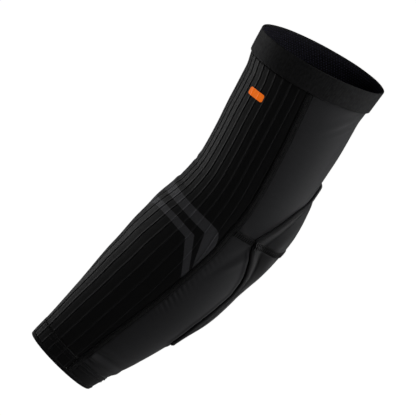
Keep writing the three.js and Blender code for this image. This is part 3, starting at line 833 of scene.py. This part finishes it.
def bars_across(place, run, reach, out, width, height):
    """One bar of thread across a seam at each distance along it."""
    points, normal = surface_frame(*place(run, 0 * run, out))
    tangent = unit(skin(*place(run, 0 * run + 1.0, out)) - points)
    return dash_arrays(points, tangent, normal, 2 * reach, width, height)


def seam_threads(name, place, length, ladder):
    """Threads on a seam. place(run, across, out) turns distances along and across the seam into (along,
    angle, out). A ladder seam has bars across it, the others a fine zigzag; both have rows of dashes."""
    if ladder:
        parts = [bars_across(place, np.arange(1.2, length - 1, 2.3), 2.3, SEAM_PROUD + 0.1, 1.0, 0.34)]
        rows = (-2.5, 2.5)
    else:
        run = np.arange(0.6, length - 0.6, 0.17)
        swing = 2 * np.abs(2 * (run / 1.36 % 1) - 1) - 1
        points, normal = surface_frame(*place(run, 1.9 * swing, SEAM_PROUD + 0.1))
        parts = [tube_arrays(points, normal, 0.18, 4)]
        rows = (-2.2, -0.7, 0.7, 2.2)
    for across in rows:
        run = np.arange(0.6, length - 0.6, 1.5)
        path = place(run, np.full_like(run, across), SEAM_PROUD + 0.12)
        parts.append(dashes_on(*path, 2.0, 1.6, 0.5, 0.3))
    return add_threads(name, parts, thread)


def front_seam_place(side):
    start = BINDING_HEIGHT + GAP

    def place(run, across, out):
        along = start + run
        centre = seam_angle(along)
        return along, side * (centre + across * degrees_for(1.0, along, centre)), out
    return place


for name, side in (("outer_front_seam", 1), ("inner_front_seam", -1)):
    strip = front_seam(name + "_strip", side)
    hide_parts(name)
    seam_threads(name + "_thread", front_seam_place(side), PANELS_TO - BINDING_HEIGHT, ladder=False)


# %% [markdown]
# ## The seam across the elbow
# The same strip runs across the back of the elbow. It has a ladder of bars between two rows of dashes
# instead of a zigzag, and its threads come after the shield, because they climb over it.

# %% The seam across the back of the elbow
def elbow_seam():
    share = np.linspace(-1, 1, 13)[:, None]
    along = ELBOW_SEAM_AT + share * (SEAM_WIDTH / 2 + 0.1)
    angle = back_angles(np.full(13, ELBOW_SEAM_AT), 181)
    out = dome(share) + 0 * angle
    return wall("elbow_seam_strip", along, angle, out, SEAM_PROUD - SEAM_WALL, seam_cloth, 3)


strip = elbow_seam()
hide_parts("elbow_seam")

# %% [markdown]
# ## The elbow shield
# A sheet of impact foam sits in a pocket over the point of the elbow. Its stitched edge is thin; inside
# it runs a welt, then a shallow channel, and then the padding swells to its full height. The cover's
# height is a function of the distance from the shield's edge, times how full the pad is at that place
# along the arm.

# %% Height of the shield
def pad_height(along, share):
    """Cover's height above the panels at a share -1 to 1 across: an edge rounded over 1 mm, a flange, a
    channel where the stitches pull it in, then a shoulder up to the padding. The channel is deeper on the
    forearm. The ends of the pad close the same way."""
    half, _ = pad_half(along)
    reach = pad_reach(along)
    to_end = np.minimum((1 + reach) * PAD_BELOW, (1 - reach) * PAD_ABOVE)
    edge = np.minimum(half * (1 - np.abs(share)), to_end)
    rise = look_up(PAD_OUTLINE, 2, reach) * (PAD_MIDDLE - PAD_EDGE)
    rounded = 1 - 0.4 * (1 - np.clip(edge / 1.2, 0, 1)) ** 2
    welt = 0.35 * np.exp(-((edge - 2.2) / 1.3) ** 2)
    below = smooth((ELBOW_SEAM_AT - along) / 20)
    channel = -(0.55 + 0.7 * below) * np.exp(-((edge - 6.5) / 2.0) ** 2) * smooth(rise / 1.5)
    return PAD_EDGE * rounded + welt + channel + rise * smooth((edge - PAD_FLANGE + 0.5) / PAD_SHOULDER)


# %% [markdown]
# ## The shield's covers
# Foam in a pocket could be a cloth simulation over a block. Its form is known from the photograph, though,
# so each cover is a closed wall with that height. Its columns stand closer together towards its edges,
# where it turns down, and its rows do the same at the two ends.

# %% Build the shield
def pad_piece(name, along):
    share = np.sin(np.linspace(-np.pi / 2, np.pi / 2, 121))[None, :]
    along = along[:, None]
    angle = 180 + share * pad_half(along)[1]
    base = fold_height(FOLDS, along, angle) + GAP
    out = base + pad_height(along, share)
    piece = wall(name, along, angle, out, base, pad_knit, 4)
    return piece


lower_ends = ELBOW_SEAM_AT - PAD_BELOW * (1 - 0.08 * np.linspace(0, 1, 14)[:-1] ** 1.6)
lower_along = np.concatenate([lower_ends, np.linspace(ELBOW_SEAM_AT - PAD_BELOW * 0.92,
                                                      ELBOW_SEAM_AT - CLEAR_OF_SEAM + 0.2, 86)])
upper_ends = ELBOW_SEAM_AT + PAD_ABOVE * (1 - 0.12 * np.linspace(1, 0, 14)[1:] ** 1.6)
upper_along = np.concatenate([np.linspace(ELBOW_SEAM_AT + CLEAR_OF_SEAM - 0.2,
                                          ELBOW_SEAM_AT + PAD_ABOVE * 0.88, 50), upper_ends])
pad_lower = pad_piece("elbow_pad_lower_cover", lower_along)
pad_upper = pad_piece("elbow_pad_upper_cover", upper_along)
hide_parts("elbow_pad_lower")
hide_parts("elbow_pad_upper")


# %% [markdown]
# ## Where the seam crosses the shield
# The strip is the same again, laid on the shield's own height. Its threads go by the length of cloth they
# have run, so the bars keep their distance where the seam climbs.

# %% Seam across the shield, and the threads of both cross seams
def pad_seam():
    across = np.linspace(-1, 1, 13)[:, None]
    along = ELBOW_SEAM_AT + across * (SEAM_WIDTH / 2 + 0.1)
    share = np.linspace(-1, 1, 121)[None, :]
    angle = 180 + share * pad_half(along)[1]
    top = GAP + pad_height(along, share)
    return wall("elbow_pad_seam_strip", along, angle, top + dome(across), SEAM_PROUD + GAP, seam_cloth, 4)


strip = pad_seam()
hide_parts("elbow_pad_seam")


def across_back(from_angle, to_angle, lift):
    """A cross seam's threads: run goes round the arm from one angle to another, on top of lift(angle)."""
    angles = np.linspace(from_angle, to_angle, 400)
    run_there = run_along(skin(ELBOW_SEAM_AT, angles, lift(angles)))

    def place(run, across, out):
        angle = np.interp(run, run_there, angles)
        return ELBOW_SEAM_AT + across, angle, out + lift(angle)
    return place, run_there[-1]


pad_side = float(pad_half(np.array(ELBOW_SEAM_AT))[1])
seam_side = float(beside_seam(np.array(ELBOW_SEAM_AT), 1))
on_pad = lambda angle: GAP + pad_height(np.full_like(angle, ELBOW_SEAM_AT), (angle - 180) / pad_side)
for name, ends, lift in (
        ("elbow_seam_thread", (seam_side, 180 - pad_side), np.zeros_like),
        ("elbow_seam_thread_far", (180 + pad_side, 360 - seam_side), np.zeros_like),
        ("elbow_pad_seam_thread", (180 - pad_side + 1, 180 + pad_side - 1), on_pad)):
    place, length = across_back(*ends, lift)
    seam_threads(name, place, length, ladder=True)


# %% [markdown]
# ## The shield's stitching
# A zigzag and two rows of dashes hold the shield down, between its edge and the padding. They are real
# tubes and beads, like all the threads, because a line of thread casts its own small shadow.

# %% Stitching round the shield's edge
def pad_edge_path(inset, lower):
    """Places inset millimetres inside the shield's edge, from one end of the elbow seam round the tip to
    the other, and their height."""
    tip = ELBOW_SEAM_AT - PAD_BELOW + inset if lower else ELBOW_SEAM_AT + PAD_ABOVE - inset
    start = ELBOW_SEAM_AT + (-CLEAR_OF_SEAM if lower else CLEAR_OF_SEAM)
    along = tip + (start - tip) * np.linspace(1, 0, 160) ** 1.5
    half = pad_half(along)[0]
    share = np.maximum(half - inset, 0) / half
    ends = np.linspace(share[-1], -share[-1], 12)[1:-1]
    along = np.concatenate([along, np.full(10, tip), along[::-1]])
    share = np.concatenate([share, ends, -share[::-1]])
    angle = 180 + share * pad_half(along)[1]
    out = fold_height(FOLDS, along, angle) + GAP + pad_height(along, share)
    return along, angle, out


def pad_zigzag(lower, outer, inner, pitch):
    """A zigzag round the shield between two distances from its edge, as places along and round the arm and
    heights."""
    near, far = (np.stack(pad_edge_path(inset, lower)) for inset in (outer, inner))
    run = run_along(skin(*((near + far) / 2)))
    at = np.arange(0, run[-1], pitch / 8)
    swing = np.abs(2 * (at / pitch % 1) - 1)
    near, far = (np.stack([np.interp(at, run, row) for row in path]) for path in (near, far))
    return near * swing + far * (1 - swing)


parts = []
for lower in (True, False):
    along, angle, out = pad_zigzag(lower, 2.4, 5.6, 2.3)
    parts.append(tube_arrays(*surface_frame(along, angle, out + 0.05), 0.24, 5))
    for inset in (1.9, 8.4):
        along, angle, out = pad_edge_path(inset, lower)
        parts.append(dashes_on(along, angle, out + 0.05, 2.4, 1.8, 0.55, 0.3))
add_threads("elbow_pad_edge_stitches", parts, thread)


# %% [markdown]
# ## The corners of the shield
# Where the shield's edge meets the cross seam, the ends of the overlock are wrapped over each other. Four
# short tubes side by side show that small pale knot.

# %% Overlock threads at the shield's two corners
parts = []
for side in (-1, 1):
    for inset in (1.0, 2.3, 3.6, 4.9):
        along = np.linspace(ELBOW_SEAM_AT - 5 + inset, ELBOW_SEAM_AT + 5 - inset / 2, 24)
        half, half_angle = pad_half(along)
        share = side * (1 - inset / half)
        out = GAP + pad_height(along, share) + SEAM_PROUD * smooth((5 - np.abs(along - ELBOW_SEAM_AT)) / 2)
        parts.append(tube_arrays(*surface_frame(along, 180 + share * half_angle, out + 0.15), 0.3, 6))
add_threads("elbow_pad_corner_threads", parts, pale_thread)

# %% [markdown]
# ## The band, its tape, the hem and the binding
# The band is woven elastic, folded over at the rim, so its top edge is round. Inside it a mesh tape with
# small silicone dots keeps the sleeve from sliding down. At the wrist the panels are turned up into a hem
# with two rows of stitches, and a narrow binding closes the edge.

# %% Band
BAND_PROUD, BAND_WALL = 2.0, 2.6
RIM_THINNING = 1.7
GRIP_HEIGHT, GRIP_WALL = 20.0, 1.0
BINDING_PROUD, BINDING_WALL = 0.4, 2.4
HEM_PROUD, HEM_WALL = 0.3, 2.4


def rounded_profile(start, stop, inside, outside, start_radius, stop_radius, steps=9):
    """A closed loop of (along, out): up the outside, round the far edge, down the inside and round the
    near edge. A radius is a share of half the wall."""
    middle, half = (inside + outside) / 2, (outside - inside) / 2
    turn = np.linspace(np.pi / 2, -np.pi / 2, steps)
    far = (stop - half * stop_radius + half * stop_radius * np.cos(turn), middle + half * np.sin(turn))
    near = (start + half * start_radius - half * start_radius * np.cos(turn), middle - half * np.sin(turn))
    length = np.linspace(0, 1, 14)[1:-1]
    outer = (near[0][-1] + (far[0][0] - near[0][-1]) * length, np.full(12, outside))
    inner = (far[0][-1] + (near[0][0] - far[0][-1]) * length, np.full(12, inside))
    return (np.concatenate([part[k] for part in (outer, far, inner, near)]) for k in (0, 1))


def rim_taper(along):
    """How far the band's inner face and the tape move out towards the rim, where the elastic is folded
    thin."""
    return RIM_THINNING * smooth((along - (SLEEVE_LENGTH - 7)) / 6)


along, out = rounded_profile(SLEEVE_LENGTH - BAND_HEIGHT, SLEEVE_LENGTH, BAND_PROUD - BAND_WALL, BAND_PROUD,
                             0.5, 1.0)
out = out + rim_taper(along) * (BAND_PROUD - out) / BAND_WALL
band_wave = lambda angle: 0.22 * np.sin(np.radians(angle * 5 + 40)) + 0.12 * np.sin(np.radians(angle * 11))
band = ring("upper_band_elastic", along, out, elastic, 360, band_wave)
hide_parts("upper_band")

# %% [markdown]
# ## The grip tape
# The tape is a dark mesh with a violet cast. Its holes are too small to be cut out, so two crossed waves
# darken and dent the surface where a hole would be. It follows the band inwards and is caught in the fold
# of the rim.

# %% Grip tape
MESH_WAVES = 4190.0      # radians of the mesh's waves for a metre of cloth
tape_material, tree, shader = new_material("polyamide_mesh_tape", 0.8, 0.3)
uv = add_node(tree, "UVMap", uv_map="cloth")
# mesh holes 1.5 mm apart, in staggered rows
turned = add_node(tree, "Mapping", {"Vector": uv, "Rotation": (0, 0, np.pi / 4), "Scale": [MESH_WAVES] * 3})
place = add_node(tree, "SeparateXYZ", [turned])
waves = [add_node(tree, "Math", [place.outputs[k]], operation="SINE") for k in (0, 1)]
weave = add_node(tree, "Math", waves, operation="MULTIPLY")
holes = add_node(tree, "MapRange", [weave, -0.1, 0.5])
two_tone(tree, shader, holes, "#1c1a28", "#09080e")
emboss(tree, shader, weave, 0.6, 0.0002)

tape_out = BAND_PROUD - BAND_WALL - GAP
tape_from = SLEEVE_LENGTH - BAND_HEIGHT / 2 - GRIP_HEIGHT / 2
tape_to = SLEEVE_LENGTH - 1.0      # the mesh is caught in the fold at the rim
along, out = rounded_profile(tape_from, tape_to, tape_out - GRIP_WALL, tape_out, 1.0, 1.0)
tape = ring("band_grip_mesh", along, out + rim_taper(along), tape_material, 240, band_wave)
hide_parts("band_grip_tape")

# %% [markdown]
# ## Silicone dots
# The dots are large enough to be seen in the mouth of the sleeve, so they are real beads. They stand in
# staggered rows, and turned inwards, as they would press on the arm.

# %% Silicone dots
dot_material, tree, shader = new_material("printed_silicone", 0.45, 0.0, ior=1.41)
place = add_node(tree, "TexCoord").outputs["Object"]
mottle = add_node(tree, "TexNoise", {"Vector": place, "Scale": 300.0})
two_tone(tree, shader, mottle, "#2c2a40", "#454360")

DOT_PITCH = 2.6
DOT_SIZE, DOT_HEIGHT = 1.3, 0.35
DOTS_ROUND = 132
dot_rows = np.arange(tape_from + 1.4, tape_to - 1.0, DOT_PITCH * 0.87)
row, dot = np.meshgrid(np.arange(len(dot_rows)), np.arange(DOTS_ROUND), indexing="ij")
dot_along = dot_rows[row].ravel()
dot_angle = ((dot + 0.5 * (row % 2)) * 360 / DOTS_ROUND).ravel()
dot_out = tape_out - GRIP_WALL + band_wave(dot_angle) + rim_taper(dot_along)
points, normal = surface_frame(dot_along, dot_angle, dot_out)
tangent = unit(skin(dot_along + 0.5, dot_angle, dot_out) - points)
points, faces = dash_arrays(points, tangent, -normal, DOT_SIZE, DOT_SIZE, DOT_HEIGHT)
dots = add_piece("band_grip_dots", points, faces, dot_material)

# %% [markdown]
# ## Hem and binding
# The front of the hem carries on the ribs of the ribbed panel, and the back is plain, with raised lines
# where the turned-up cloth and its stitches press through. The binding is one ring with a round edge.

# %% Hem and binding
HEM_LINES = (8.0, 6.0, 2.9)      # raised lines, in millimetres from the hem's upper edge
HEM_STITCHES = (7.0, 2.9)
hem_from, hem_to = BINDING_HEIGHT + GAP, BINDING_HEIGHT + GAP + HEM_HEIGHT
# the cloth nearly touches the binding, so that no light shows between them
hem_start, hem_stop = hem_from - 0.25, hem_to - 0.05
hem_front = ribbed_piece("cuff_hem_front_knit", np.linspace(hem_start, hem_stop, 12), HEM_PROUD, HEM_WALL, 2)
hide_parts("cuff_hem_front")

along = np.linspace(hem_start, hem_stop, 36)
angle = back_angles(along, 181)
along = np.broadcast_to(along[:, None], angle.shape)
hem_relief = HEM_PROUD - 0.5 * np.exp(-((along - hem_from) / 0.7) ** 2)
for back_off in HEM_LINES:
    hem_relief = hem_relief + 0.45 * np.exp(-((along - hem_to + back_off) / 0.5) ** 2) - 0.15
# the hem's darker knit is painted shade, not a darker cloth
hem_back = wall("cuff_hem_back_knit", along, angle, hem_relief, HEM_PROUD - HEM_WALL, hem_knit_painted_shade, 3)
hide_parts("cuff_hem_back")

along, out = rounded_profile(0, BINDING_HEIGHT, BINDING_PROUD - BINDING_WALL, BINDING_PROUD, 1.0, 0.5)
binding = ring("cuff_binding_tape", along, out, binding_cloth, 240)
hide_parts("cuff_binding")

round_arm = np.linspace(0, 360, 361)
parts = [dashes_on(np.full(361, hem_to - back_off), round_arm, HEM_PROUD + 0.05, 2.6, 2.0, 0.55, 0.3)
         for back_off in HEM_STITCHES]
parts.append(dashes_on(np.full(361, BINDING_HEIGHT - 1.2), round_arm, BINDING_PROUD + 0.05,
                       2.4, 1.8, 0.5, 0.28))
add_threads("cuff_stitches", parts, thread)


# %% [markdown]
# ## The panels' UV maps and areas
# Stretch knit is cut about a tenth smaller than the arm, and the flat area is measured here from the panel
# itself. Here the UV map and the face areas of each panel are read, and nothing is made from them.


def declare_sheet(piece):
    """Reads the piece's UV map in metres of cloth and the areas of its faces; nothing is made from them."""
    mesh = piece.data
    uv = np.empty(len(mesh.loops) * 2, np.float32)
    mesh.uv_layers["cloth"].data.foreach_get("uv", uv)
    area = np.empty(len(mesh.polygons))
    mesh.polygons.foreach_get("area", area)


for piece in (front, forearm_back, upper_back, hem_front, hem_back):
    declare_sheet(piece)

# %% [markdown]
# ## The room
# The photograph has a paper-white ground that sends hardly any light onto the sleeve. Its light comes from
# both sides: a large panel on the left, a little behind the sleeve, and one on the right that reaches from
# below to in front of it, so that the middle of the ribbed panel, which faces the camera, stays nearly
# black. Each large panel is a few soft lights side by side. The ground is a glowing sheet that only the
# camera sees, and it lies well below, because the sleeve is held up.

# %% White ground
ground_material, tree, shader = new_material("white_studio_paper", 0.9, 0.0)
place = add_node(tree, "TexCoord").outputs["Object"]
mottle = add_node(tree, "TexNoise", {"Vector": place, "Scale": 2.0})
colour = two_tone(tree, shader, mottle, "#fdfdfd", "#ffffff")
tree.links.new(colour, shader.inputs["Emission Color"])
shader.inputs["Emission Strength"].default_value = 1.02

GROUND_BELOW, GROUND_RADIUS, GROUND_RIM = 1.7, 12.0, 14.0
# a bowl: flat in the middle, and rising to a wall all round, so that a level view is white too
share = np.linspace(0, 1, 25)[:, None]
turn = np.linspace(0, 2 * np.pi, 48, endpoint=False)[None, :]
radius = GROUND_RADIUS * np.sin(share * np.pi / 2) * (1 + 0 * turn)
height = GROUND_RIM * share ** 6 - GROUND_BELOW + 0 * turn
bowl = np.stack([radius * np.cos(turn), radius * np.sin(turn), height], axis=-1)
index = np.arange(bowl[..., 0].size).reshape(height.shape)
after = np.roll(index, -1, axis=1)
bowl_faces = np.stack([index[:-1], after[:-1], after[1:], index[1:]], axis=-1).reshape(-1, 4).tolist()
ground_mesh = bpy.data.meshes.new("ground")
ground_mesh.from_pydata(bowl.reshape(-1, 3).tolist(), [], bowl_faces)
ground_mesh.materials.append(ground_material)
ground = bpy.data.objects.new("ground", ground_mesh)
bpy.context.scene.collection.objects.link(ground)
ground.visible_diffuse = ground.visible_glossy = ground.visible_shadow = False
print("ground", GROUND_RADIUS * 2, "m across,", GROUND_BELOW, "m below the elbow")

# %% [markdown]
# ## Lights
# Eight soft area lights stand round the elbow, and there is next to no light from the world. Their first
# powers were found by rendering the sleeve with one light at a time and weighing those pictures against
# the photograph; some were then changed, for the dark middle and the pale edges.

# %% Lights
world = bpy.data.worlds.new("studio")
world.use_nodes = True
world.node_tree.nodes["Background"].inputs["Color"].default_value = (1, 1, 1, 1)
world.node_tree.nodes["Background"].inputs["Strength"].default_value = 0.003
bpy.context.scene.world = world
bpy.context.scene.view_settings.view_transform = "Standard"


def area_light(name, towards, power):
    """A soft rectangular light that stands in the direction towards from the elbow, and is turned to it."""
    data = bpy.data.lights.new(name, "AREA")
    data.shape = "RECTANGLE"
    data.size, data.size_y = LIGHT_SIZE
    data.energy = power
    light = bpy.data.objects.new(name, data)
    bpy.context.scene.collection.objects.link(light)
    away = unit(np.array(towards))
    side = unit(np.cross([0.0, 0.0, 1.0], away))
    rotation = np.stack([side, np.cross(away, side), away], axis=1)
    light.rotation_euler = Matrix(rotation.tolist()).to_euler()
    light.location = LIGHT_DISTANCE * away


# columns: name, direction from the elbow, power in watts
LIGHTS = (
    ("left_behind", (-0.87, 0.47, 0.15), 3.7),
    ("left_side", (-0.94, 0.16, 0.30), 2.2),
    ("left_front", (-0.94, -0.32, 0.13), 1.0),
    ("below", (0.16, 0.00, -0.99), 0.5),
    ("right_below", (0.71, 0.12, -0.69), 2.7),
    ("right_above", (0.88, -0.20, 0.43), 2.7),
    ("right_side", (0.88, -0.44, -0.17), 2.4),
    ("right_front", (0.64, -0.71, 0.29), 1.2),
)
LIGHT_DISTANCE = 1.5
LIGHT_SIZE = (0.6, 1.2)
for name, towards, power in LIGHTS:
    area_light(name, towards, power)
print("lights:", len(LIGHTS), "with", round(sum(row[2] for row in LIGHTS), 1), "W in all")
